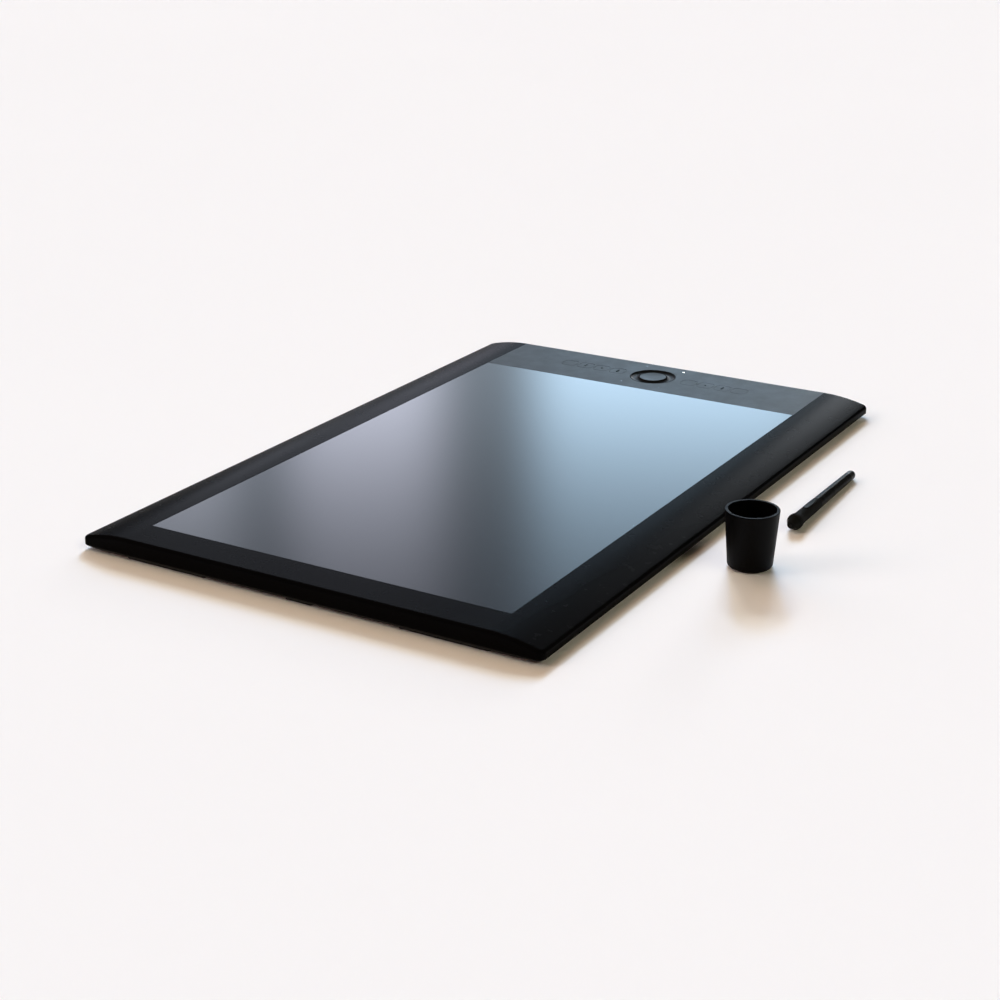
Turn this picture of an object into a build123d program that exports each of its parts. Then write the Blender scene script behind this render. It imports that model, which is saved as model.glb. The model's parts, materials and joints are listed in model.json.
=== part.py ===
from build123d import *
import math
import os

# Drawing tablet with a built-in screen, lying flat on a table, with its pen and pen cup.
# Millimetres. The origin is on the table under the middle of the tablet's housing.
# +X points to the near short edge, -X to the key strip, +Z up.

# Housing outline
body_length = 633.0
body_width = 418.6
body_top = 17.0
foot_drop = 2.2
floor_thickness = 2.0
rim_top = 10.5
rail_width = 43.6
bevel_width = 14.8
bevel_height = 1.4
corner_radius = 5.5
top_edge_radius = 3.0
low_edge_radius = 1.6
cover_wall = 2.2
section_margin = 5.0
smallest_fillet = 0.4

# Window between the two long rails: the screen, then the key strip at the far end
near_bezel = 33.4
strip_length = 81.2
seam = 0.3
ledge_width = 3.0
ledge_thickness = 1.8
ledge_web = 2.4
cross_bar = 7.0
glass_thickness = 2.0
glass_edge = 0.3

# Layers under the glass, from the top down
stack_clearance = 0.5
lcd_thickness = 1.6
guide_thickness = 2.0
tray_floor = 0.6
tray_wall = 0.8
sensor_thickness = 1.0
shield_thickness = 0.6
shield_slot = 60.0
shield_slot_width = 8.0
slot_columns = 4

# Key strip panel
panel_thickness = 2.4
lip_height = 6.0
far_ledge_drop = 1.2
strip_fit = 0.2
ring_from_far = 39.9
post_radius = 2.5
post_gap = 1.0
ring_post_gap = 2.0

# Express keys, four on each side of the touch ring
keys_per_side = 4
key_pitch = 18.0
first_key_y = 39.0
key_width = 15.6
key_depth = 15.4
key_corner = 5.0
key_gap = 0.2
key_edge = 0.3
key_flange = 0.9
key_flange_thickness = 1.0
key_play = 0.2
key_travel = 0.6
key_stem_radius = 2.5
switch_gap = 0.1
mark_radius = 0.9
mark_height = 0.3
mark_bar = 6.5
mark_root = 0.2

# Touch ring and the button in its middle
ring_outer = 22.5
ring_inner = 13.4
ring_ledge = 2.4
ring_ledge_thickness = 0.6
ring_lip = 0.7
ring_depth = 1.5
ring_sink = 0.1
ring_foot = 1.4
button_gap = 0.3
button_flange = 1.2
button_flange_thickness = 1.0
button_dish = 0.35
led_offset_x = 28.2
led_offset_y = 20.2
led_radius = 0.8
led_clearance = 0.1

# Circuit boards behind the strip
board_thickness = 1.2
key_board_margin = 3.0
key_board_end = 12.0
key_board_drop = 4.4
switch_base = 6.0
switch_base_height = 0.8
switch_dome_radius = 2.0
switch_dome_height = 0.4
standoff_height = 0.55
standoff_radius = 3.0
standoff_inset = 8.0
main_board_length = 66.0
main_board_width = 300.0
board_clearance = 0.4
can_length = 34.0
can_width = 46.0
can_height = 2.6
can_wall = 0.3
ribbon_width = 14.0
ribbon_thickness = 0.3
ribbon_landing = 8.0
ribbon_reach = 9.0
ribbon_slack = 2.0
ribbon_margin = 1.0

# Sockets and power button in the far wall
usb_width = 8.94
usb_height = 3.16
usb_depth = 7.35
usb_wall = 0.3
usb_tongue_width = 6.69
usb_tongue = 0.7
usb_tongue_depth = 4.45
usb_recess = 0.4
usb_fit = 0.2
usb_y = 112.0
usb_pitch = 22.0
power_y = -118.0
power_width = 11.0
power_height = 3.0
power_gap = 0.25
power_flange = 0.8
power_flange_thickness = 1.0
power_travel = 0.5
power_switch_size = 4.0

# Underside
foot_recess = 0.8
foot_depth = 12.5
foot_edge = 2.2
foot_corner = 3.0
foot_radius = 0.6
outer_foot_inset = 43.3
outer_foot_length = 78.0
middle_foot_length = 26.0
centre_foot_radius = 15.0
foot_fit = 0.1
rib_thickness = 1.8
rib_rows = 5
rib_columns = 5
rib_end_inset = 15.0
rib_side_inset = 12.0
lip_wall = 1.5
lip_rise = 2.6
lip_fit = 0.3
lip_gap_depth = 12.0
lip_gap_margin = 2.0
vent_count = 14
vent_pitch = 5.0
vent_width = 2.0
vent_length = 26.0
boss_radius = 3.2
boss_rail_inset = 19.0
boss_end_inset = 36.5
bosses_per_rail = 5
near_boss_inset = 14.0
near_boss_y = 80.0
screw_radius = 1.3
screw_clearance = 0.1
screw_head_radius = 2.5
screw_head_height = 1.1
screw_sink = 0.1
screw_socket_radius = 1.2
screw_socket_depth = 0.7
screw_length = 8.0

# Pen, lying along the tablet's right side with its nib towards the viewer
pen_x = -0.5
pen_y = 261.0
pen_yaw = 1.2
table_gap = 0.02
nose_radius = 3.3
nose_length = 6.5
nose_end_radius = 5.9
grip_station = 8.8
grip_radius = 6.7
flare_end = 15.3
flare_end_radius = 5.87
taper_start = 28.0
taper_radius = 5.37
grip_end = 58.0
barrel_end = 133.0
tail_station = 139.5
tail_radius = 4.24
pen_length = 146.5
tail_shoulder = 2.2
tail_shoulder_share = 0.84
nose_fullness = 1.3
joint_line = 0.15
core_radius = 4.3
bore_radius = 3.5
sleeve_fit = 0.05
spigot_length = 6.0
nib_radius = 0.8
nib_reach = 1.5
nib_length = 23.5
nib_tip = 0.72
nib_travel = 0.4
nib_clearance = 0.2
coil_start = 8.0
coil_length = 12.0
coil_radius = 3.3
coil_bore = 1.2
pen_board_length = 84.0
pen_board_width = 5.0
pen_board_thickness = 0.8
rocker_station = 42.0
rocker_length = 24.0
rocker_width = 5.0
rocker_gap = 0.3
rocker_rise = 0.5
rocker_thickness = 1.8
rocker_dish = 0.35
pivot_radius = 0.8
pivot_clearance = 0.05
pivot_height = 1.7
pivot_length = 3.0
saddle_length = 3.2
saddle_width = 3.6
tact_offset = 9.0
tact_height = 0.8
tact_size = 2.6
nub_radius = 0.9
nub_gap = 0.55

# Pen cup, a small tapered tumbler
cup_x = 78.9
cup_y = 259.9
cup_height = 47.4
cup_rim_radius = 21.35
cup_base_radius = 17.85
cup_base_edge = 3.0
cup_wall = 2.6
cup_lip_radius = 0.45
cup_floor = 2.0
cup_lift = 0.4
pad_radius = 14.5
pad_thickness = 1.2
pad_edge = 0.3
weight_radius = 13.5
weight_thickness = 3.0
cup_fit = 0.2

# Places that follow from the sizes above
near_end = body_length / 2
far_end = -body_length / 2
half_width = body_width / 2
half_window = half_width - rail_width
parting = foot_drop + floor_thickness
near_window = near_end - near_bezel
screen_far = far_end + strip_length
rail_drop = body_top - rim_top
rail_radius = (rail_width**2 + rail_drop**2) / (2 * rail_drop)
glass_seat = body_top - glass_thickness
panel_seat = body_top - panel_thickness
ledge_low = panel_seat - ledge_thickness
lip_low = body_top - lip_height
ring_x = far_end + ring_from_far
key_board_top = panel_seat - key_board_drop
key_board_low = key_board_top - board_thickness
switch_top = key_board_top + switch_base_height + switch_dome_height
stem_low = switch_top + key_travel + switch_gap
main_board_low = parting + standoff_height
main_board_top = main_board_low + board_thickness
button_reach = cover_wall + key_play + power_flange_thickness + power_travel
main_board_far = far_end + button_reach + board_clearance
port_z = main_board_top + usb_height / 2
guide_top = glass_seat - lcd_thickness
tray_top = guide_top - guide_thickness
tray_low = tray_top - tray_floor
sensor_low = tray_low - sensor_thickness
shield_low = sensor_low - shield_thickness
stack_x0 = screen_far + cross_bar / 2 + stack_clearance
stack_x1 = near_window - ledge_width - stack_clearance
stack_y = half_window - ledge_width - stack_clearance
stack_middle = (stack_x0 + stack_x1) / 2
rib_pitch_x = (stack_x1 - stack_x0 - 2 * rib_end_inset) / (rib_columns - 1)
rib_pitch_y = 2 * (stack_y - rib_side_inset) / (rib_rows - 1)
vent_x = stack_x0 + rib_end_inset + rib_pitch_x / 2
vent_y = rib_pitch_y / 2
boss_pitch = (body_length - 2 * boss_end_inset) / (bosses_per_rail - 1)
near_foot_x = near_end - foot_edge - foot_depth / 2
taper_slope = (tail_radius - taper_radius) / (tail_station - taper_start)
rocker_radius = taper_radius + taper_slope * (rocker_station - taper_start)
pen_tilt = math.degrees(math.atan2(grip_radius - tail_radius, tail_station - grip_station))
cavity_floor = pad_thickness + weight_thickness + cup_fit + cup_floor


def block(x0, x1, y0, y1, z0, z1):
    """Box given by its limits."""
    box = Box(x1 - x0, y1 - y0, z1 - z0)
    return Pos((x0 + x1) / 2, (y0 + y1) / 2, (z0 + z1) / 2) * box


def disc(x, y, z0, z1, radius):
    """Upright cylinder between two heights."""
    return Pos(x, y, (z0 + z1) / 2) * Cylinder(radius, z1 - z0)


def tile(x, y, z0, z1, length, width, corner):
    """Rounded rectangle in plan, between two heights."""
    return Pos(x, y, z0) * extrude(RectangleRounded(length, width, corner), amount=z1 - z0)


def slot(x, y, z0, z1, length, width):
    """Long slot with round ends along X, between two heights."""
    return Pos(x, y, z0) * extrude(SlotOverall(length, width), amount=z1 - z0)


def spaced(count, pitch):
    """Evenly spaced places about zero."""
    return [(index - (count - 1) / 2) * pitch for index in range(count)]


def housing_section(inset, low, bevelled):
    """Cross-section of the housing: flat top, convex rails and, if asked, the lower bevels.

    It runs past the half width by a margin. The plan outline trims it later.
    """
    radius = rail_radius - inset
    side_y = half_width + section_margin
    angle = math.asin((side_y - half_window) / radius)
    centre_z = body_top - rail_radius
    start = (half_window, body_top - inset)
    middle = (half_window + radius * math.sin(angle / 2), centre_z + radius * math.cos(angle / 2))
    end = (side_y, centre_z + radius * math.cos(angle))
    slope = bevel_height / bevel_width if bevelled else 0
    base = (half_width - bevel_width, low)
    corner = (side_y, low + slope * (bevel_width + section_margin))
    half = [ThreePointArc(start, middle, end), Line(end, corner), Line(corner, base)]
    outline = Line(start, (-start[0], start[1])) + Line(base, (-base[0], low))
    for edge in half:
        outline += [edge, mirror(edge, Plane.YZ)]
    return make_face(outline)


def housing_form(inset=0.0, low=foot_drop, bevelled=True):
    """Solid outer form of the housing, or the same form set in by a wall thickness."""
    length = body_length - 2 * inset
    section = Plane.YZ * housing_section(inset, low, bevelled)
    form = extrude(section, amount=length / 2 + section_margin, both=True)
    outline = RectangleRounded(length, body_width - 2 * inset, corner_radius - inset)
    form = form & extrude(outline, amount=body_top + section_margin)
    rim = form.edges().filter_by(lambda edge: on_rim(edge, inset))
    return fillet(rim, max(top_edge_radius - inset, smallest_fillet))


def on_rim(edge, inset):
    """Whether an edge belongs to the rim round the top of the housing."""
    return on_outline(edge @ 0.5, inset) and edge.bounding_box().min.Z > (parting + rim_top) / 2


def on_outline(point, inset):
    """Whether a point lies on the housing's plan outline, set in by a wall thickness."""
    x = abs(point.X) - (near_end - corner_radius)
    y = abs(point.Y) - (half_width - corner_radius)
    reach = math.hypot(max(x, 0), max(y, 0)) if x > 0 and y > 0 else max(x, y)
    return abs(reach - (corner_radius - inset)) < 0.01


def boss_places():
    """Screw places: a row under each rail and two under the near bezel."""
    places = []
    for side in (-1, 1):
        y = side * (half_width - boss_rail_inset)
        places += [(x, y) for x in spaced(bosses_per_rail, boss_pitch)]
        places.append((near_end - near_boss_inset, side * near_boss_y))
    return places


def window_openings():
    """Openings inside the ledges: one under the key strip and one under the screen."""
    y = half_window - ledge_width
    strip_far = far_end + panel_thickness + strip_fit + ledge_width
    strip_near = screen_far - cross_bar / 2
    screen_start = screen_far + cross_bar / 2
    openings = block(strip_far, strip_near, -y, y, parting, body_top)
    return openings + block(screen_start, near_window - ledge_width, -y, y, parting, body_top)


def window_seats():
    """Space above the ledges that the glass and the strip panel fill."""
    lip_end = far_end + panel_thickness + strip_fit
    seats = block(screen_far, near_window, -half_window, half_window, glass_seat, body_top)
    seats += block(far_end, screen_far, -half_window, half_window, panel_seat, body_top)
    return seats + block(far_end, lip_end, -half_window, half_window, lip_low, body_top)


def top_cover():
    """Upper shell: two long rails, near bezel, window ledges and screw bosses."""
    outer = housing_form() & block(far_end, near_end, -half_width, half_width, parting, body_top)
    cover = outer - housing_form(cover_wall, low=0.0, bevelled=False)
    ledge_y = half_window + ledge_web
    ledges = block(far_end + cover_wall, near_window + ledge_web, -ledge_y, ledge_y, ledge_low, body_top)
    cover += ledges & outer
    shelf_end = far_end + panel_thickness + strip_fit + ledge_width
    shelf_low = lip_low - far_ledge_drop
    cover += block(far_end + cover_wall / 2, shelf_end, -half_window, half_window, shelf_low, panel_seat)
    cover -= window_openings()
    cover -= window_seats()
    cover = chamfer(shelf_corner(cover), top_edge_radius - panel_thickness)
    roof = housing_form(cover_wall / 2)
    for x, y in boss_places():
        cover += disc(x, y, parting, body_top, boss_radius) & roof
    for x, y in boss_places():
        cover -= disc(x, y, parting, parting + screw_length, screw_radius + screw_clearance)
    return cover - port_cutouts()


def shelf_corner(cover):
    """Corner of the far shelf, which would meet the rounded inside of the strip panel's lip."""
    lip_end = far_end + panel_thickness + strip_fit
    along_far_end = cover.edges().filter_by(Axis.Y).filter_by_position(Axis.X, lip_end - 0.01, lip_end + 0.01)
    return along_far_end.filter_by_position(Axis.Z, panel_seat - 0.01, panel_seat + 0.01)


def far_plane(x, y):
    """Plane across the X axis at the height of the sockets, with its normal pointing inwards."""
    return Plane(origin=(x, y, port_z), x_dir=(0, 1, 0), z_dir=(1, 0, 0))


def wall_slot(y, width, height):
    """Round-ended hole through the far wall, seen along X."""
    return extrude(far_plane(far_end, y) * SlotOverall(width, height), amount=2 * cover_wall, both=True)


def port_cutouts():
    """Openings in the far wall for two sockets and the power button."""
    cuts = wall_slot(power_y, power_width + 2 * power_gap, power_height + 2 * power_gap)
    for y in usb_places():
        cuts += wall_slot(y, usb_width + 2 * usb_fit, usb_height + 2 * usb_fit)
    return cuts


def usb_places():
    """Middle of each socket along the far wall."""
    return [usb_y, usb_y + usb_pitch]


def rear_cover():
    """Lower shell: floor, inner lip, stiffening ribs, board standoffs, vents and foot recesses."""
    floor = housing_form() & block(far_end, near_end, -half_width, half_width, foot_drop, parting)
    low_edges = floor.faces().sort_by(Axis.Z)[0].edges()
    cover = fillet(low_edges.filter_by(Axis.Y), low_edge_radius)
    cover += inner_lip()
    cover += floor_ribs()
    for x, y in standoff_places():
        cover += disc(x, y, parting, main_board_low, standoff_radius)
    for x, y in boss_places():
        cover -= disc(x, y, foot_drop, parting, screw_radius + screw_clearance)
        head = screw_head_radius + screw_clearance
        cover -= disc(x, y, foot_drop, foot_drop + screw_head_height, head)
    for x, y, length in bar_feet().values():
        recess = tile(x, y, foot_drop, foot_drop + foot_recess, foot_depth, length, foot_corner)
        cover -= recess
    cover -= disc(0, 0, foot_drop, foot_drop + foot_recess, centre_foot_radius)
    vent = Rot(0, 0, 90) * slot(0, 0, 0, parting, vent_length, vent_width)
    for x in spaced(vent_count, vent_pitch):
        cover -= Pos(vent_x + x, -vent_y, 0) * vent
        cover -= Pos(vent_x + x, vent_y, 0) * vent
    return cover


def standoff_places():
    """Standoffs under the main board: its corners and the middle of both long edges."""
    middle = main_board_far + main_board_length / 2
    reach = main_board_length / 2 - standoff_inset
    side = main_board_width / 2 - standoff_inset
    return [(middle + sx * reach, sy * side) for sx in (-1, 1) for sy in (-1, 0, 1)]


def inner_lip():
    """Low wall that stands just inside the upper shell's rim, open at the sockets."""
    inset = cover_wall + lip_fit
    outline = RectangleRounded(body_length - 2 * inset, body_width - 2 * inset, corner_radius - inset)
    inset += lip_wall
    inner = RectangleRounded(body_length - 2 * inset, body_width - 2 * inset, corner_radius - inset)
    lip = Pos(0, 0, parting) * extrude(outline - inner, amount=lip_rise)
    gap = main_board_width / 2 + lip_gap_margin
    return lip - block(far_end, far_end + lip_gap_depth, -gap, gap, 0, body_top)


def floor_ribs():
    """Crossed ribs on the floor that carry the shield plate under the screen."""
    height = shield_low - parting
    along = Box(stack_x1 - stack_x0, rib_thickness, height)
    across = Box(rib_thickness, 2 * stack_y, height)
    ribs = [Pos(0, y, 0) * along for y in spaced(rib_rows, rib_pitch_y)]
    ribs += [Pos(x, 0, 0) * across for x in spaced(rib_columns, rib_pitch_x)]
    return Pos(stack_middle, 0, parting + height / 2) * (ribs[0] + ribs[1:])


def cover_glass():
    """Etched glass over the screen, level with the rails."""
    x0 = screen_far + seam / 2
    x1 = near_window - seam
    y = half_window - seam
    glass = block(x0, x1, -y, y, glass_seat, body_top)
    return chamfer(glass.faces().sort_by(Axis.Z)[-1].edges(), glass_edge)


def stack_layer(low, high, inset=0.0):
    """One flat layer under the glass."""
    return block(stack_x0 + inset, stack_x1 - inset, -stack_y + inset, stack_y - inset, low, high)


def lcd_panel():
    return stack_layer(guide_top, glass_seat)


def light_guide():
    return stack_layer(tray_top, guide_top, tray_wall + seam)


def backlight_tray():
    """Shallow metal tray round the light guide."""
    return stack_layer(tray_low, guide_top) - stack_layer(tray_top, guide_top, tray_wall)


def sensor_board():
    return stack_layer(sensor_low, tray_low)


def shield_plate():
    """Thin metal shield with rows of lightening slots."""
    plate = stack_layer(shield_low, sensor_low)
    for x in spaced(slot_columns, rib_pitch_x):
        for y in (-rib_pitch_y / 2, rib_pitch_y / 2):
            plate -= slot(stack_middle + x, y, shield_low, sensor_low, shield_slot, shield_slot_width)
    return plate


def key_places():
    """Middle of each key along the strip, numbered from the left end."""
    rising = [first_key_y + index * key_pitch for index in range(keys_per_side)]
    return [-y for y in reversed(rising)] + rising


def led_places():
    return [(ring_x + sx * led_offset_x, sy * led_offset_y) for sx in (-1, 1) for sy in (-1, 1)]


def post_places():
    """Posts under the strip panel that hold the key board."""
    end = key_places()[-1] + key_width / 2 + key_flange + post_radius + post_gap
    places = [(ring_x + sx * key_depth, sy * end) for sx in (-1, 1) for sy in (-1, 1)]
    middle_x = ring_outer + post_radius + ring_post_gap
    places += [(ring_x + sx * middle_x, 0) for sx in (-1, 1)]
    return places


def strip_panel():
    """Key strip panel with its turned-down far lip, key openings and ring seat."""
    shell = housing_form() - housing_form(panel_thickness, low=0.0, bevelled=False)
    y = half_window - seam
    panel = shell & block(far_end, screen_far - seam / 2, -y, y, lip_low, body_top)
    for key_y in key_places():
        opening = (key_depth + 2 * key_gap, key_width + 2 * key_gap)
        panel -= tile(ring_x, key_y, panel_seat, body_top, *opening, key_corner + key_gap)
    panel -= disc(ring_x, 0, panel_seat + ring_ledge_thickness, body_top, ring_outer + strip_fit)
    panel -= disc(ring_x, 0, panel_seat, body_top, ring_outer - ring_ledge)
    for x, led_y in led_places():
        panel -= disc(x, led_y, panel_seat, body_top, led_radius + led_clearance)
    for x, post_y in post_places():
        panel += disc(x, post_y, key_board_top, panel_seat, post_radius)
    return panel


def tactile_mark(x, y):
    """Small raised dot that a finger can find."""
    return disc(x, y, body_top - mark_root, body_top + mark_height, mark_radius)


def key(index):
    """Key cap with its retaining flange and stem. Some caps carry a raised mark."""
    y = key_places()[index]
    flange_top = panel_seat - key_play
    cap = tile(ring_x, y, flange_top, body_top, key_depth, key_width, key_corner)
    cap = fillet(cap.faces().sort_by(Axis.Z)[-1].edges(), key_edge)
    size = (key_depth + 2 * key_flange, key_width + 2 * key_flange)
    cap += tile(ring_x, y, flange_top - key_flange_thickness, flange_top, *size, key_corner + key_flange)
    cap += disc(ring_x, y, stem_low, flange_top, key_stem_radius)
    if index in (2, 5):
        cap += tactile_mark(ring_x, y)
    if index == 1:
        cap += tactile_mark(ring_x - 2 * mark_radius, y)
        cap += tactile_mark(ring_x + 2 * mark_radius, y)
    if index in (3, 6):
        cap += slot(ring_x, y, body_top - mark_root, body_top + mark_height, mark_bar, 2 * mark_radius)
    return cap


def touch_ring():
    """Dished ring that the thumb turns round on, held on a ledge in the strip panel."""
    top = body_top - ring_sink
    seat = panel_seat + ring_ledge_thickness
    foot = panel_seat - ring_foot
    inside = ring_outer - ring_ledge - strip_fit
    dish_middle = ((ring_outer + ring_inner) / 2, top - ring_depth)
    edge = top - ring_lip
    line = Polyline((ring_outer - ring_lip, top), (ring_outer, edge), (ring_outer, seat), (inside, seat))
    line += Polyline((inside, seat), (inside, foot), (ring_inner, foot), (ring_inner, edge))
    line += Line((ring_inner, edge), (ring_inner + ring_lip, top))
    line += ThreePointArc((ring_inner + ring_lip, top), dish_middle, (ring_outer - ring_lip, top))
    return Pos(ring_x, 0, 0) * revolve(Plane.XZ * make_face(line), Axis.Z)


def centre_button():
    """Round button inside the touch ring, level with the strip and slightly dished."""
    radius = ring_inner - button_gap
    flange_top = panel_seat - ring_foot - key_play
    button = disc(ring_x, 0, flange_top, body_top, radius)
    button = fillet(button.faces().sort_by(Axis.Z)[-1].edges(), key_edge)
    flat = radius - 2 * key_edge
    ball = (flat**2 + button_dish**2) / (2 * button_dish)
    button -= Pos(ring_x, 0, body_top - button_dish + ball) * Sphere(ball)
    button += disc(ring_x, 0, flange_top - button_flange_thickness, flange_top, radius + button_flange)
    button += disc(ring_x, 0, stem_low, flange_top, key_stem_radius)
    return button


def led_pipes():
    """Four clear rods that carry light from the key board to the strip's surface."""
    return Compound([disc(x, y, key_board_top, body_top, led_radius) for x, y in led_places()])


def key_board():
    """Circuit board hung from the strip panel's posts."""
    length = 2 * (led_offset_x + key_board_margin)
    width = 2 * (key_places()[-1] + key_width / 2 + key_board_end)
    return Pos(ring_x, 0, key_board_low + board_thickness / 2) * Box(length, width, board_thickness)


def dome_switches():
    """One low switch under each key and under the centre button."""
    half = switch_base / 2
    switches = []
    for y in key_places() + [0]:
        middle = key_board_top + switch_base_height
        body = block(ring_x - half, ring_x + half, y - half, y + half, key_board_top, middle)
        switches.append(body + disc(ring_x, y, middle, switch_top, switch_dome_radius))
    return Compound(switches)


def main_board():
    near = main_board_far + main_board_length
    half = main_board_width / 2
    return block(main_board_far, near, -half, half, main_board_low, main_board_top)


def board_shield():
    """Sheet metal can over the processor, open below."""
    can = Box(can_length, can_width, can_height)
    hollow = Box(can_length - 2 * can_wall, can_width - 2 * can_wall, can_height)
    return Pos(ring_x, 0, main_board_top + can_height / 2) * (can - Pos(0, 0, -can_wall) * hollow)


def usb_ports():
    """Two sockets for power, picture and data: a steel shell round a thin tongue."""
    sockets = []
    inner_depth = usb_depth - usb_wall
    for y in usb_places():
        mouth = far_plane(far_end + usb_recess, y)
        shell = extrude(mouth * SlotOverall(usb_width, usb_height), amount=usb_depth)
        bore = SlotOverall(usb_width - 2 * usb_wall, usb_height - 2 * usb_wall)
        shell -= extrude(mouth * bore, amount=inner_depth)
        root = far_plane(far_end + usb_recess + inner_depth, y)
        shell += extrude(root * Rectangle(usb_tongue_width, usb_tongue), amount=-usb_tongue_depth)
        sockets.append(shell)
    return Compound(sockets)


def power_button():
    """Pill-shaped button flush with the far wall, pressed inwards."""
    depth = cover_wall + key_play
    button = extrude(far_plane(far_end, power_y) * SlotOverall(power_width, power_height), amount=depth)
    button = fillet(button.faces().sort_by(Axis.X)[0].edges(), key_edge)
    flange = SlotOverall(power_width + 2 * power_flange, power_height + power_flange)
    return button + extrude(far_plane(far_end + depth, power_y) * flange, amount=power_flange_thickness)


def power_switch():
    """Side-acting switch on the main board behind the power button."""
    start = far_end + button_reach + switch_gap
    half = power_switch_size / 2
    end = start + power_switch_size
    return block(start, end, power_y - half, power_y + half, main_board_top, main_board_top + usb_height)


def flat_ribbon(points, y):
    """Thin flat cable: a line in the XZ plane, thickened and extruded along Y."""
    path = Polyline(*points)
    half = ribbon_thickness / 2
    strip = make_face(offset(path, half, side=Side.BOTH))
    ribbon = extrude(Plane.XZ * strip, amount=ribbon_width / 2, both=True)
    return Pos(0, y, 0) * ribbon


def key_ribbon():
    """Flat cable from the key board's near edge down to the main board."""
    edge = ring_x + led_offset_x + key_board_margin
    half = ribbon_thickness / 2
    low = main_board_top + half
    high = key_board_low - half
    bend = edge - ribbon_margin
    foot = bend - ribbon_slack
    points = [(bend - ribbon_landing, high), (bend, high), (foot, low), (foot - ribbon_reach, low)]
    return flat_ribbon(points, -rib_pitch_y)


def display_ribbon():
    """Flat cable from the screen's far edge down to the main board."""
    half = ribbon_thickness / 2
    low = main_board_top + half
    high = shield_low - half
    bend = stack_x0 - ribbon_slack
    foot = main_board_far + main_board_length - ribbon_margin
    points = [(stack_x0 + ribbon_landing, high), (bend, high), (foot, low), (foot - ribbon_landing, low)]
    return flat_ribbon(points, rib_pitch_y / 2)


def housing_screws():
    """Screws sunk in the floor that reach into the upper shell's bosses."""
    screws = []
    for x, y in boss_places():
        seat = foot_drop + screw_head_height
        screw = disc(x, y, foot_drop + screw_sink, seat, screw_head_radius)
        screw += disc(x, y, seat, foot_drop + screw_length, screw_radius)
        screw -= disc(x, y, foot_drop, foot_drop + screw_socket_depth, screw_socket_radius)
        screws.append(screw)
    return Compound(screws)


def bar_feet():
    """Name, middle and length of each bar-shaped foot along the two short edges."""
    outer_y = half_width - outer_foot_inset - outer_foot_length / 2
    feet = {}
    for end, x in (("near", near_foot_x), ("far", -near_foot_x)):
        feet[f"foot_{end}_left"] = (x, -outer_y, outer_foot_length)
        feet[f"foot_{end}_middle"] = (x, 0, middle_foot_length)
        feet[f"foot_{end}_right"] = (x, outer_y, outer_foot_length)
    return feet


def bar_foot(x, y, length):
    """Rubber bar set in its recess, rounded where it meets the table."""
    depth = foot_depth - 2 * foot_fit
    foot = tile(x, y, 0, foot_drop + foot_recess, depth, length - 2 * foot_fit, foot_corner - foot_fit)
    return fillet(foot.faces().sort_by(Axis.Z)[0].edges(), foot_radius)


def foot_centre():
    """Round pad that stops the wide housing bending under the pen."""
    foot = disc(0, 0, 0, foot_drop + foot_recess, centre_foot_radius - foot_fit)
    return fillet(foot.faces().sort_by(Axis.Z)[0].edges(), foot_radius)


def pen_frame():
    """Place of the pen: local X runs from the nib to the tail, local Z away from the table."""
    yaw = math.radians(pen_yaw)
    tilt = math.radians(pen_tilt)
    along = (-math.cos(yaw) * math.cos(tilt), -math.sin(yaw) * math.cos(tilt), -math.sin(tilt))
    up = (-math.cos(yaw) * math.sin(tilt), -math.sin(yaw) * math.sin(tilt), math.cos(tilt))
    height = grip_radius * math.cos(tilt) + grip_station * math.sin(tilt) + table_gap
    return Plane(origin=(pen_x, pen_y, height), x_dir=along, z_dir=up)


def pen_form(inset=0.0):
    """Turned outer form of the whole pen, or the same form set in."""
    nose = (0, nose_radius - inset)
    crown = (grip_station, grip_radius - inset)
    flare = (flare_end, flare_end_radius - inset)
    waist = (taper_start, taper_radius - inset)
    tail = (tail_station, tail_radius - inset)
    tip = (pen_length - inset, 0)
    taper = (tail[0] - waist[0], tail[1] - waist[1])
    nose_slope = (nose_length, nose_fullness * (nose_end_radius - nose_radius))
    line = Line((0, 0), nose)
    line += Spline(nose, (nose_length, nose_end_radius - inset), crown, tangents=(nose_slope, (1, 0)))
    line += Spline(crown, flare, waist, tangents=((1, 0), taper))
    line += Line(waist, tail)
    shoulder = (pen_length - inset - tail_shoulder, (tail_radius - inset) * tail_shoulder_share)
    line += Spline(tail, shoulder, tip, tangents=(taper, (0, -1)))
    line += Line(tip, (0, 0))
    return revolve(make_face(line), Axis.X)


def along_pen(start, end, radius):
    """Round bar along the pen's axis."""
    return Pos((start + end) / 2, 0, 0) * Rot(0, 90, 0) * Cylinder(radius, end - start)


def pen_slice(start, end):
    """Part of the pen's outer form between two stations."""
    return pen_form() & along_pen(start, end, 2 * grip_radius)


def rocker_slot(clearance):
    """Long slot in the pen's top for the side switch."""
    shape = SlotOverall(rocker_length + 2 * clearance, rocker_width + 2 * clearance)
    return Pos(rocker_station, 0, pen_board_thickness) * extrude(shape, amount=2 * grip_radius)


def pen_nose():
    """Hard nose cone with the nib's hole."""
    nose = pen_slice(0, nose_length - joint_line)
    nose -= along_pen(-1, pen_length, nib_radius + nib_clearance)
    return nose


def pen_barrel():
    """Rear barrel, with a thinner tube running forward under the grip."""
    barrel = pen_slice(grip_end + joint_line, barrel_end)
    barrel += along_pen(nose_length, grip_end + joint_line, core_radius)
    barrel -= along_pen(nose_length, barrel_end, bore_radius)
    return barrel - rocker_slot(rocker_gap)


def pen_grip():
    """Soft rubber sleeve, thickest just behind the nose."""
    grip = pen_slice(nose_length, grip_end)
    grip -= along_pen(nose_length - 1, grip_end + 1, core_radius + sleeve_fit)
    return grip - rocker_slot(rocker_gap)


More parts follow.
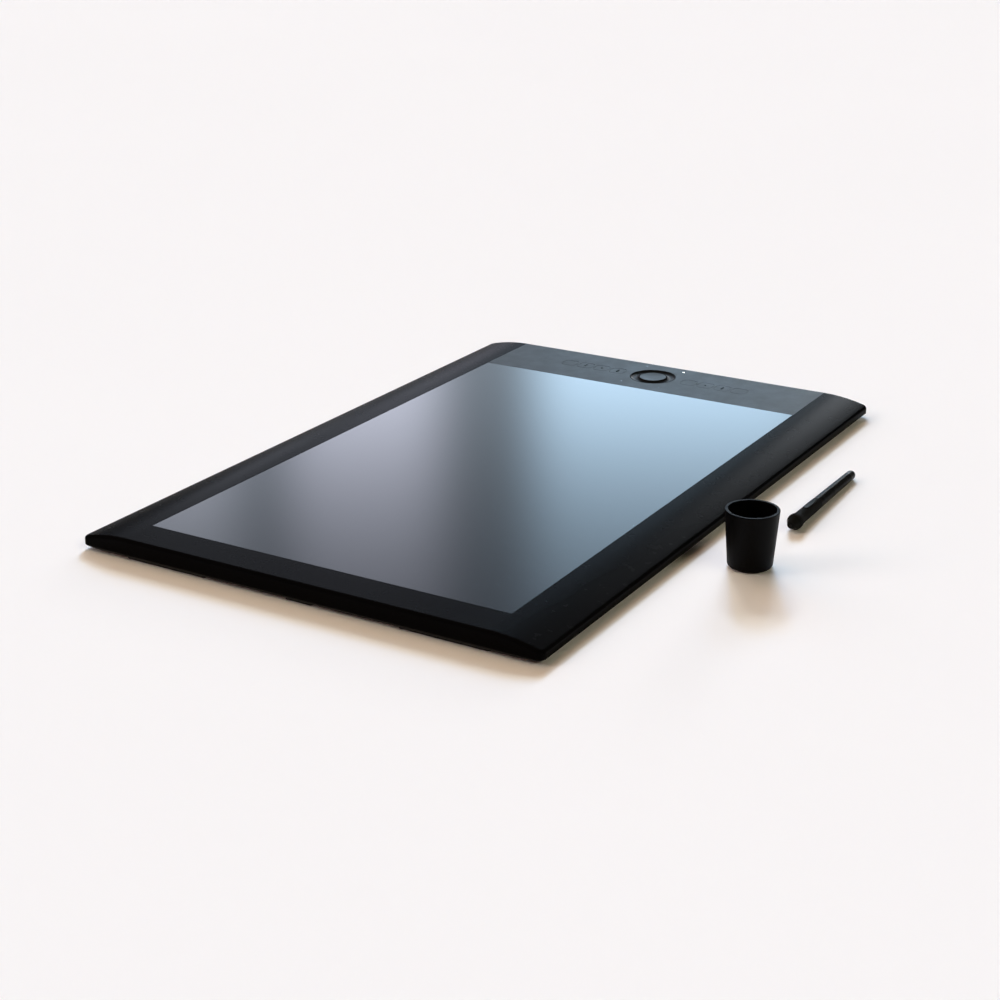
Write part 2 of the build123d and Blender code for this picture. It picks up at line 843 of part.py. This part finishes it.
def pen_tail():
    """Domed tail cap with a spigot inside the barrel."""
    tail = pen_slice(barrel_end + joint_line, pen_length)
    return tail + along_pen(barrel_end - spigot_length, barrel_end + 1, bore_radius - sleeve_fit)


def pen_nib():
    """Replaceable nib: a thin rod with a round tip."""
    nib = along_pen(-nib_reach, nib_length - nib_reach, nib_radius)
    return fillet(nib.faces().sort_by(Axis.X)[0].edges(), nib_tip)


def pen_coil():
    """Ferrite and coil round the nib."""
    return along_pen(coil_start, coil_start + coil_length, coil_radius) - along_pen(0, pen_length, coil_bore)


def pen_board():
    """Pen's circuit board with two small switches and the rocker's saddle."""
    start = nib_length - nib_reach + nib_travel + switch_gap
    end = start + pen_board_length
    half = pen_board_width / 2
    low = -pen_board_thickness / 2
    top = pen_board_thickness / 2
    board = block(start, end, -half, half, low, top)
    for side in (-1, 1):
        x = rocker_station + side * tact_offset
        size = tact_size / 2
        board += block(x - size, x + size, -size, size, top, top + tact_height)
    length = saddle_length / 2
    width = saddle_width / 2
    board += block(rocker_station - length, rocker_station + length, -width, width, top, pivot_height)
    groove = Rot(90, 0, 0) * Cylinder(pivot_radius + pivot_clearance, 2 * saddle_width)
    return board - Pos(rocker_station, 0, pivot_height) * groove


def pen_side_switch():
    """Two-way rocker on the grip, tilting on a rounded rib."""
    reach = pen_form(-rocker_rise)
    low = core_radius - rocker_thickness
    shape = SlotOverall(rocker_length, rocker_width)
    rocker = Pos(rocker_station, 0, low) * extrude(shape, amount=2 * grip_radius) & reach
    dish = rocker_length**2 / (8 * rocker_dish)
    dish_z = rocker_radius + rocker_rise - rocker_dish + dish
    rocker -= Pos(rocker_station, 0, dish_z) * Rot(90, 0, 0) * Cylinder(dish, 3 * rocker_width)
    pivot = Pos(rocker_station, 0, pivot_height) * Rot(90, 0, 0) * Cylinder(pivot_radius, pivot_length)
    web = Box(2 * pivot_radius, pivot_length, low - pivot_height)
    rocker += pivot + Pos(rocker_station, 0, (low + pivot_height) / 2) * web
    for side in (-1, 1):
        x = rocker_station + side * tact_offset
        nub_low = pen_board_thickness / 2 + tact_height + nub_gap
        rocker += disc(x, 0, nub_low, low, nub_radius)
    return rocker


def pen_cup():
    """Tapered tumbler with a rolled lip, a raised inner floor and a recess for its weight."""
    slope = (cup_rim_radius - cup_base_radius) / (cup_height - cup_base_edge)
    low_outer = cup_base_radius - slope * (cup_base_edge - cup_lift)
    inner_top = cup_rim_radius - cup_wall
    inner_low = cup_base_radius + slope * (cavity_floor - cup_base_edge) - cup_wall
    line = Polyline((0, cup_lift), (low_outer, cup_lift), (cup_rim_radius, cup_height))
    line += Polyline((cup_rim_radius, cup_height), (inner_top, cup_height), (inner_low, cavity_floor))
    line += Polyline((inner_low, cavity_floor), (0, cavity_floor), (0, cup_lift))
    cup = revolve(Plane.XZ * make_face(line), Axis.Z)
    rims = cup.edges().filter_by(GeomType.CIRCLE).sort_by(Axis.Z)
    cup = fillet(rims[-2:], cup_lip_radius)
    cup = fillet(cup.edges().filter_by(GeomType.CIRCLE).sort_by(Axis.Z)[0], cup_base_edge)
    cup -= disc(0, 0, cup_lift, pad_thickness, pad_radius + cup_fit)
    weight_top = pad_thickness + weight_thickness + cup_fit
    cup -= disc(0, 0, pad_thickness, weight_top, weight_radius + cup_fit)
    return Pos(cup_x, cup_y, 0) * cup


def cup_weight():
    return disc(cup_x, cup_y, pad_thickness, pad_thickness + weight_thickness, weight_radius)


def cup_pad():
    pad = disc(cup_x, cup_y, 0, pad_thickness, pad_radius)
    return fillet(pad.faces().sort_by(Axis.Z)[0].edges(), pad_edge)


def tablet_pieces():
    """Every piece of the tablet itself, by name."""
    pieces = {
        "top_cover": top_cover(),
        "rear_cover": rear_cover(),
        "cover_glass": cover_glass(),
        "lcd_panel": lcd_panel(),
        "light_guide": light_guide(),
        "backlight_tray": backlight_tray(),
        "sensor_board": sensor_board(),
        "shield_plate": shield_plate(),
        "strip_panel": strip_panel(),
        "touch_ring": touch_ring(),
        "centre_button": centre_button(),
        "led_pipes": led_pipes(),
        "key_board": key_board(),
        "dome_switches": dome_switches(),
        "main_board": main_board(),
        "board_shield": board_shield(),
        "key_ribbon": key_ribbon(),
        "display_ribbon": display_ribbon(),
        "usb_ports": usb_ports(),
        "power_button": power_button(),
        "power_switch": power_switch(),
        "housing_screws": housing_screws(),
        "foot_centre": foot_centre(),
    }
    for name, (x, y, length) in bar_feet().items():
        pieces[name] = bar_foot(x, y, length)
    for index in range(2 * keys_per_side):
        pieces[f"key_{index + 1}"] = key(index)
    return pieces


def pen_pieces():
    """Every piece of the pen, moved to where it lies on the table."""
    place = pen_frame().location
    makers = [pen_nose, pen_grip, pen_barrel, pen_tail, pen_nib, pen_coil, pen_board, pen_side_switch]
    return {maker.__name__: place * maker() for maker in makers}


def cup_pieces():
    return {"pen_cup": pen_cup(), "cup_weight": cup_weight(), "cup_pad": cup_pad()}


def main():
    os.makedirs("parts", exist_ok=True)
    for pieces in (tablet_pieces(), pen_pieces(), cup_pieces()):
        for name, shape in pieces.items():
            shape.label = name
            export_step(shape, f"parts/{name}.step")


main()
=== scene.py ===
import json
import math

import bmesh
import bpy
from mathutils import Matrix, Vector

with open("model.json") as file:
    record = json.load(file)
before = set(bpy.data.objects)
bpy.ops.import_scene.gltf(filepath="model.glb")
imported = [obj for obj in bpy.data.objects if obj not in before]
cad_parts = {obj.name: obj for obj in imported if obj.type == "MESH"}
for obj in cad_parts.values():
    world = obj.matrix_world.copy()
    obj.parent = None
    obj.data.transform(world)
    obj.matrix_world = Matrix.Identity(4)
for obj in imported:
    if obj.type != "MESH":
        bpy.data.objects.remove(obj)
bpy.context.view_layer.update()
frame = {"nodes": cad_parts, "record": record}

MM = 0.001

# The way the camera looks, as a turn about the vertical. The studio is laid out from it.
BACK_AZIMUTH = math.radians(-149.35)

# A noise turns from one tone or gloss to the other between these two values
NOISE_LOW = 0.3
NOISE_HIGH = 0.7


# Materials

class Finish:
    """One material and the short calls that wire its nodes."""

    def __init__(self, name):
        self.material = bpy.data.materials.new(name)
        self.material.use_nodes = True
        self.nodes = self.material.node_tree.nodes
        self.links = self.material.node_tree.links
        self.shader = self.nodes["Principled BSDF"]
        self.place = self.nodes.new("ShaderNodeTexCoord").outputs["Object"]

    def set(self, **values):
        for name, value in values.items():
            self.shader.inputs[name.replace("_", " ")].default_value = value

    def join(self, source, target):
        if isinstance(target, str):
            target = self.shader.inputs[target]
        self.links.new(source, target)

    def noise(self, size, detail, stretch=(1, 1, 1)):
        scaled = self.nodes.new("ShaderNodeMapping")
        scaled.inputs["Scale"].default_value = stretch
        self.join(self.place, scaled.inputs["Vector"])
        texture = self.nodes.new("ShaderNodeTexNoise")
        texture.inputs["Scale"].default_value = 1 / size
        texture.inputs["Detail"].default_value = detail
        self.join(scaled.outputs["Vector"], texture.inputs["Vector"])
        return texture.outputs["Fac"]

    def grain(self, size):
        texture = self.nodes.new("ShaderNodeTexVoronoi")
        texture.inputs["Scale"].default_value = 1 / size
        self.join(self.place, texture.inputs["Vector"])
        return texture.outputs["Distance"]

    def spread(self, source, low, high):
        mapped = self.nodes.new("ShaderNodeMapRange")
        mapped.inputs["From Min"].default_value = NOISE_LOW
        mapped.inputs["From Max"].default_value = NOISE_HIGH
        mapped.inputs["To Min"].default_value = low
        mapped.inputs["To Max"].default_value = high
        self.join(source, mapped.inputs["Value"])
        return mapped.outputs["Result"]

    def tint(self, source, first, second):
        ramp = self.nodes.new("ShaderNodeValToRGB")
        ramp.color_ramp.elements[0].position = NOISE_LOW
        ramp.color_ramp.elements[0].color = (*first, 1)
        ramp.color_ramp.elements[1].position = NOISE_HIGH
        ramp.color_ramp.elements[1].color = (*second, 1)
        self.join(source, ramp.inputs["Fac"])
        return ramp.outputs["Color"]

    def bump(self, source, depth):
        bump = self.nodes.new("ShaderNodeBump")
        bump.inputs["Distance"].default_value = depth
        bump.inputs["Strength"].default_value = 1.0
        self.join(source, bump.inputs["Height"])
        return bump.outputs["Normal"]


DRIFT_SIZE = 60 * MM
WEAR_SIZE = 12 * MM


def plastic(name, dark, light, rough, rough_spread, specular, grain_size, grain_depth):
    """Moulded plastic: a fine grain, soft unevenness of gloss and a little colour drift."""
    finish = Finish(name)
    finish.set(Specular_IOR_Level=specular)
    broad = finish.noise(DRIFT_SIZE, 4)
    finish.join(finish.tint(broad, dark, light), "Base Color")
    wear = finish.noise(WEAR_SIZE, 5)
    finish.join(finish.spread(wear, rough - rough_spread, rough + rough_spread), "Roughness")
    finish.join(finish.bump(finish.grain(grain_size), grain_depth), "Normal")
    return finish.material


def screen_glass(name):
    """Etched glass over a dark display: fine sparkle in the gloss and a faint drift of tone."""
    finish = Finish(name)
    finish.set(Specular_IOR_Level=0.5, IOR=1.5)
    broad = finish.noise(120 * MM, 3)
    finish.join(finish.tint(broad, (0.0135, 0.0155, 0.0195), (0.0142, 0.0164, 0.0208)), "Base Color")
    etch = finish.noise(0.7 * MM, 4)
    finish.join(finish.spread(etch, 0.12, 0.15), "Roughness")
    finish.join(finish.bump(etch, 0.002 * MM), "Normal")
    return finish.material


def rubber(name, tone, specular):
    """Soft rubber: uneven gloss over a fine, shallow roughness."""
    finish = Finish(name)
    finish.set(Specular_IOR_Level=specular)
    broad = finish.noise(8 * MM, 5)
    lighter = (tone * 1.25, tone * 1.22, tone * 1.2)
    finish.join(finish.tint(broad, (tone, tone, tone), lighter), "Base Color")
    finish.join(finish.spread(broad, 0.62, 0.8), "Roughness")
    finish.join(finish.bump(finish.noise(0.4 * MM, 4), 0.03 * MM), "Normal")
    return finish.material


def metal(name, tone, rough, stretch=(1, 12, 12)):
    """Drawn or pressed metal: fine marks along one direction."""
    finish = Finish(name)
    finish.set(Metallic=1.0)
    drawn = finish.noise(4 * MM, 5, stretch)
    lighter = tuple(min(1.0, value * 1.1) for value in tone)
    finish.join(finish.tint(drawn, tone, lighter), "Base Color")
    finish.join(finish.spread(drawn, rough - 0.06, rough + 0.08), "Roughness")
    finish.join(finish.bump(drawn, 0.01 * MM), "Normal")
    return finish.material


def board(name):
    """Circuit board: green lacquer over a glass weave."""
    finish = Finish(name)
    finish.set(Specular_IOR_Level=0.5)
    weave = finish.noise(1.2 * MM, 2)
    finish.join(finish.tint(weave, (0.02, 0.12, 0.06), (0.03, 0.17, 0.085)), "Base Color")
    finish.join(finish.spread(weave, 0.3, 0.42), "Roughness")
    finish.join(finish.bump(weave, 0.02 * MM), "Normal")
    return finish.material


def light_pipe(name):
    """Dark smoked plastic of an unlit light pipe."""
    finish = Finish(name)
    finish.set(Specular_IOR_Level=0.5)
    haze = finish.noise(1 * MM, 3)
    finish.join(finish.tint(haze, (0.02, 0.022, 0.024), (0.028, 0.03, 0.032)), "Base Color")
    finish.join(finish.spread(haze, 0.2, 0.3), "Roughness")
    return finish.material


def lit_pipe(name):
    """A light pipe that glows white."""
    finish = Finish(name)
    haze = finish.noise(0.8 * MM, 3)
    finish.join(finish.tint(haze, (0.9, 0.94, 1.0), (1.0, 1.0, 1.0)), "Emission Color")
    finish.set(Emission_Strength=8.0)
    return finish.material


# Dark and light tone, roughness and its spread, specular level, size and depth of the grain
PLASTICS = {
    "soft_touch":
        ((0.0028, 0.0026, 0.0028), (0.0036, 0.0034, 0.0036), 0.27, 0.006, 0.009, 0.00035, 0.0000012),
    "rear_plastic":
        ((0.008, 0.008, 0.0085), (0.012, 0.012, 0.0125), 0.5, 0.05, 0.15, 0.0008, 0.00004),
    "lcd":
        ((0.01, 0.01, 0.012), (0.013, 0.013, 0.015), 0.2, 0.03, 0.5, 0.0003, 0.000004),
    "clear_plastic":
        ((0.8, 0.82, 0.83), (0.86, 0.88, 0.88), 0.15, 0.03, 0.5, 0.001, 0.000004),
    "strip_plastic":
        ((0.0195, 0.019, 0.0185), (0.022, 0.0215, 0.021), 0.38, 0.03, 0.09, 0.0003, 0.000008),
    "ring_gloss":
        ((0.008, 0.009, 0.01), (0.011, 0.012, 0.013), 0.42, 0.03, 0.07, 0.0006, 0.000002),
    "ribbon":
        ((0.4, 0.22, 0.05), (0.48, 0.28, 0.07), 0.35, 0.04, 0.5, 0.0007, 0.00001),
    "switch_body":
        ((0.015, 0.015, 0.015), (0.02, 0.02, 0.02), 0.45, 0.05, 0.4, 0.0003, 0.00001),
    "pen_plastic":
        ((0.009, 0.009, 0.0084), (0.012, 0.012, 0.0112), 0.26, 0.03, 0.014, 0.0003, 0.00001),
    "pen_switch":
        ((0.008, 0.008, 0.0076), (0.011, 0.011, 0.0104), 0.34, 0.03, 0.018, 0.0003, 0.000006),
    "nib_plastic":
        ((0.012, 0.012, 0.012), (0.018, 0.018, 0.018), 0.45, 0.05, 0.06, 0.0003, 0.00001),
    "ferrite":
        ((0.05, 0.045, 0.04), (0.07, 0.065, 0.06), 0.5, 0.05, 0.4, 0.0005, 0.00003),
    "cup_soft_touch":
        ((0.0024, 0.0023, 0.0024), (0.0034, 0.0032, 0.0034), 0.46, 0.05, 0.05, 0.0004, 0.000015),
    "pen_cap":
        ((0.012, 0.012, 0.012), (0.016, 0.016, 0.016), 0.35, 0.04, 0.08, 0.0003, 0.000006),
    "key_mark":
        ((0.004, 0.0045, 0.005), (0.006, 0.0065, 0.007), 0.5, 0.04, 0.05, 0.0003, 0.000004),
}

finishes = {name: plastic(name, *values) for name, values in PLASTICS.items()}
finishes["screen_glass"] = screen_glass("screen_glass")
finishes["foot_rubber"] = rubber("foot_rubber", 0.02, 0.25)
finishes["pen_rubber"] = rubber("pen_rubber", 0.011, 0.02)
finishes["sheet_metal"] = metal("sheet_metal", (0.56, 0.56, 0.55), 0.34)
finishes["switch_metal"] = metal("switch_metal", (0.65, 0.64, 0.6), 0.3)
finishes["socket_steel"] = metal("socket_steel", (0.5, 0.5, 0.51), 0.3, (12, 1, 12))
finishes["screw_steel"] = metal("screw_steel", (0.06, 0.06, 0.062), 0.36, (4, 4, 4))
finishes["circuit_board"] = board("circuit_board")
finishes["light_pipe"] = light_pipe("light_pipe")
finishes["lit_pipe"] = lit_pipe("lit_pipe")

for part in frame["record"]["subparts"]:
    node = frame["nodes"][part["node"]]
    node.data.materials.clear()
    node.data.materials.append(finishes[part["material_slot"]])


# The pen's end cap, a little lighter than its barrel

frame["nodes"]["pen_tail"].data.materials[0] = finishes["pen_cap"]


# The lit light pipe, the one at the far edge beside the ring

LIT_PIPE = Vector((-304.8 * MM, 20.2 * MM))
PIPE_REACH = 4 * MM

pipes = frame["nodes"]["led_pipes"]
pipes.data.materials.append(finishes["lit_pipe"])
for face in pipes.data.polygons:
    if (face.center.xy - LIT_PIPE).length < PIPE_REACH:
        face.material_index = 1


# The raised marks on the keys, darker than their caps

KEY_COUNT = 8
KEY_TOP = 17.05 * MM

for number in range(1, KEY_COUNT + 1):
    cap = frame["nodes"]["key_" + str(number)]
    cap.data.materials.append(finishes["key_mark"])
    for face in cap.data.polygons:
        if face.center.z > KEY_TOP:
            face.material_index = 1


# The floor

FLOOR_SIZE = 40.0
FLOOR_CELLS = 8


def floor():
    grid = bmesh.new()
    bmesh.ops.create_grid(grid, x_segments=FLOOR_CELLS, y_segments=FLOOR_CELLS, size=FLOOR_SIZE / 2)
    data = bpy.data.meshes.new("floor")
    grid.to_mesh(data)
    grid.free()
    plane = bpy.data.objects.new("floor", data)
    bpy.context.scene.collection.objects.link(plane)
    finish = Finish("floor")
    finish.set(Specular_IOR_Level=0.0, Roughness=1.0)
    drift = finish.noise(0.9, 2)
    finish.join(finish.tint(drift, (0.955, 0.945, 0.94), (0.965, 0.955, 0.95)), "Base Color")
    data.materials.append(finish.material)


floor()


# The world: a weak warm dome, a pale backdrop, and light panels that glossy surfaces mirror.
# Angles are in degrees, azimuth from the back and elevation from level. A pair of angles is
# an edge, from where it is dark to where it is fully light.

DOME = ((1.0, 0.86, 0.71), 0.02)
BACKDROP = ((0.93, 0.93, 0.955), 1.0)

MIRRORED_TINT = (0.72, 0.86, 1.0)
MIRRORED_LEAST = 0.03
MIRRORED_SIDES = (18.0, 9.0)
MIRRORED_FOOT = (3.0, 13.0)
FADE_ABOVE = 17.5
FADE_RATE = -0.23

PANEL_EDGE = 1.2
PANELS = [
    # middle and half width in azimuth, then strength and tint
    (-5.6, 4.4, 4.3, (0.54, 0.78, 1.0)),
    (4.4, 2.4, 3.0, (0.84, 0.84, 1.0)),
    (10.6, 2.0, 2.7, (0.84, 0.86, 1.0)),
]

SIDE_AZIMUTH = -17.0
SIDE_EDGE = (5.0, 2.5)
SIDE_TOP = (27.0, 23.0)
SIDE_STRENGTH = 8.0
SIDE_TINT = (0.86, 0.93, 1.0)


def studio_world():
    world = bpy.data.worlds.new("studio")
    bpy.context.scene.world = world
    world.use_nodes = True
    nodes = world.node_tree.nodes
    links = world.node_tree.links
    nodes.clear()
    direction = nodes.new("ShaderNodeTexCoord").outputs["Generated"]
    turned = nodes.new("ShaderNodeVectorRotate")
    turned.rotation_type = "Z_AXIS"
    turned.inputs["Angle"].default_value = -BACK_AZIMUTH
    links.new(direction, turned.inputs["Vector"])
    parts = nodes.new("ShaderNodeSeparateXYZ")
    links.new(turned.outputs["Vector"], parts.inputs["Vector"])
    rays = nodes.new("ShaderNodeLightPath")

    def calculate(operation, *values):
        node = nodes.new("ShaderNodeMath")
        node.operation = operation
        for socket, value in zip(node.inputs, values):
            if isinstance(value, (int, float)):
                socket.default_value = value
            else:
                links.new(value, socket)
        return node.outputs["Value"]

    def ease(value, start, end):
        node = nodes.new("ShaderNodeMapRange")
        node.interpolation_type = "SMOOTHSTEP"
        node.inputs["From Min"].default_value = start
        node.inputs["From Max"].default_value = end
        links.new(value, node.inputs["Value"])
        return node.outputs["Result"]

    def background(color, strength):
        node = nodes.new("ShaderNodeBackground")
        node.inputs["Color"].default_value = (*color, 1)
        if isinstance(strength, (int, float)):
            node.inputs["Strength"].default_value = strength
        else:
            links.new(strength, node.inputs["Strength"])
        return node.outputs["Background"]

    def added(first, second):
        node = nodes.new("ShaderNodeAddShader")
        links.new(first, node.inputs[0])
        links.new(second, node.inputs[1])
        return node.outputs["Shader"]

    def mixed(ray, first, second):
        node = nodes.new("ShaderNodeMixShader")
        links.new(rays.outputs[ray], node.inputs["Fac"])
        links.new(first, node.inputs[1])
        links.new(second, node.inputs[2])
        return node.outputs["Shader"]

    azimuth = calculate("DEGREES", calculate("ARCTAN2", parts.outputs["Y"], parts.outputs["X"]))
    elevation = calculate("DEGREES", calculate("ARCSINE", parts.outputs["Z"]))

    above = calculate("MAXIMUM", calculate("SUBTRACT", elevation, FADE_ABOVE), 0.0)
    fade = calculate("EXPONENT", calculate("MULTIPLY", above, FADE_RATE))
    level = calculate("MULTIPLY", fade, ease(elevation, *MIRRORED_FOOT))
    beside = ease(calculate("ABSOLUTE", azimuth), *MIRRORED_SIDES)
    behind = calculate("MULTIPLY", level, beside)
    mirrored = background(MIRRORED_TINT, calculate("ADD", behind, MIRRORED_LEAST))

    for middle, half, strength, tint in PANELS:
        off = calculate("ABSOLUTE", calculate("SUBTRACT", azimuth, middle))
        across = ease(off, half + PANEL_EDGE, half - PANEL_EDGE)
        shape = calculate("MULTIPLY", level, across)
        mirrored = added(mirrored, background(tint, calculate("MULTIPLY", shape, strength)))

    off = calculate("ABSOLUTE", calculate("SUBTRACT", azimuth, SIDE_AZIMUTH))
    shape = calculate("MULTIPLY", ease(off, *SIDE_EDGE), ease(elevation, *SIDE_TOP))
    mirrored = added(mirrored, background(SIDE_TINT, calculate("MULTIPLY", shape, SIDE_STRENGTH)))

    unseen = mixed("Is Glossy Ray", background(*DOME), mirrored)
    seen = mixed("Is Camera Ray", unseen, background(*BACKDROP))
    output = nodes.new("ShaderNodeOutputWorld")
    links.new(seen, output.inputs["Surface"])


studio_world()


# The lamps: cool ones low behind, warm ones round the sides

LAMP_DISTANCE = 3.0
LAMPS = [
    # azimuth from the back, elevation and spread in degrees, then energy and colour
    (-3.0, 25.0, 7.0, 1.87, (0.47, 0.68, 1.00)),
    (-9.0, 31.0, 7.0, 0.64, (0.86, 0.96, 1.00)),
    (-12.0, 20.0, 7.0, 0.75, (0.57, 0.74, 1.00)),
    (5.0, 31.0, 7.0, 0.73, (1.00, 0.97, 0.91)),
    (14.0, 25.0, 24.0, 0.46, (0.26, 0.72, 1.00)),
    (-20.0, 11.0, 7.0, 0.58, (0.98, 0.99, 1.00)),
    (36.0, 15.0, 32.0, 0.44, (1.00, 0.94, 1.00)),
    (22.5, 55.0, 50.0, 0.294, (1.00, 0.52, 0.25)),
    (45.0, 56.0, 60.0, 0.66, (1.00, 0.69, 0.44)),
    (92.0, 31.0, 26.0, 0.55, (1.00, 0.97, 0.91)),
    (100.0, 20.0, 26.0, 0.36, (1.00, 0.57, 0.46)),
    (-112.5, 38.0, 22.0, 0.32, (1.00, 0.91, 0.74)),
    (-135.0, 38.0, 22.0, 0.31, (1.00, 0.95, 0.61)),
]


def lamp(azimuth, elevation, spread, energy, color):
    light = bpy.data.lights.new("lamp", "SUN")
    light.energy = energy
    light.color = color
    light.angle = math.radians(spread)
    place = bpy.data.objects.new("lamp", light)
    turn = BACK_AZIMUTH + math.radians(azimuth)
    rise = math.radians(elevation)
    towards = Vector((math.cos(rise) * math.cos(turn), math.cos(rise) * math.sin(turn), math.sin(rise)))
    place.rotation_euler = towards.to_track_quat("Z", "Y").to_euler()
    place.location = towards * LAMP_DISTANCE
    place.visible_glossy = False
    bpy.context.scene.collection.objects.link(place)


for values in LAMPS:
    lamp(*values)


# The camera

CAMERA_PLACE = (1.3341, 0.7784, 0.5717)
CAMERA_FORWARD = Vector((-0.8030, -0.4758, -0.3590))
LENS = 67.716
SENSOR = 36

camera_data = bpy.data.cameras.new("camera")
camera_data.lens = LENS
camera_data.sensor_width = SENSOR
camera_data.clip_end = 100
camera = bpy.data.objects.new("camera", camera_data)
camera.location = CAMERA_PLACE
camera.rotation_euler = CAMERA_FORWARD.to_track_quat("-Z", "Y").to_euler()
bpy.context.scene.collection.objects.link(camera)
bpy.context.scene.camera = camera
bpy.context.scene.view_settings.view_transform = "Standard"
